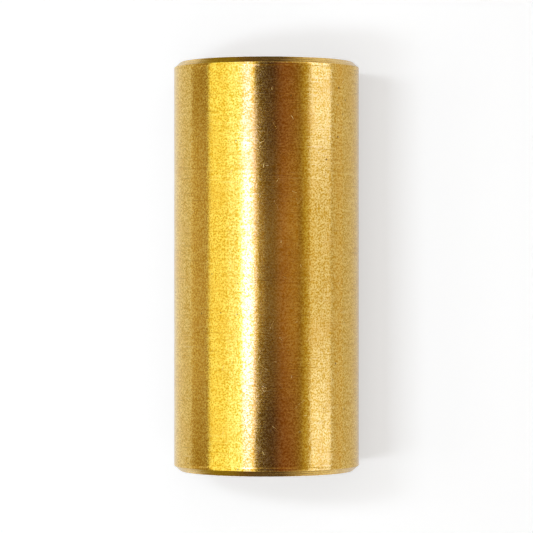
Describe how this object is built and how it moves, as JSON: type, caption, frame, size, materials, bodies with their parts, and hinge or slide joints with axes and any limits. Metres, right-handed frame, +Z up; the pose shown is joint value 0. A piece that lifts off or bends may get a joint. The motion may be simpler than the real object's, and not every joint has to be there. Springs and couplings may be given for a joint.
{
  "type": "guitar slide",
  "caption": "Straight thick-walled brass tube with a through bore for a finger and chamfered ends, slid along guitar strings.",
  "frame": {"origin": "centre of the bore, halfway along it, on the tube's axis", "axes": "+Y along the bore axis; +Z up, away from the surface that the barrel lies on; the tube is the same all round and end for end"},
  "size_m": [0.0254, 0.056, 0.0254],
  "materials": {
    "brass": "satin, as turned"
  },
  "bodies": {
    "root": {"slide_tube": "brass"}
  },
  "joints": []
}
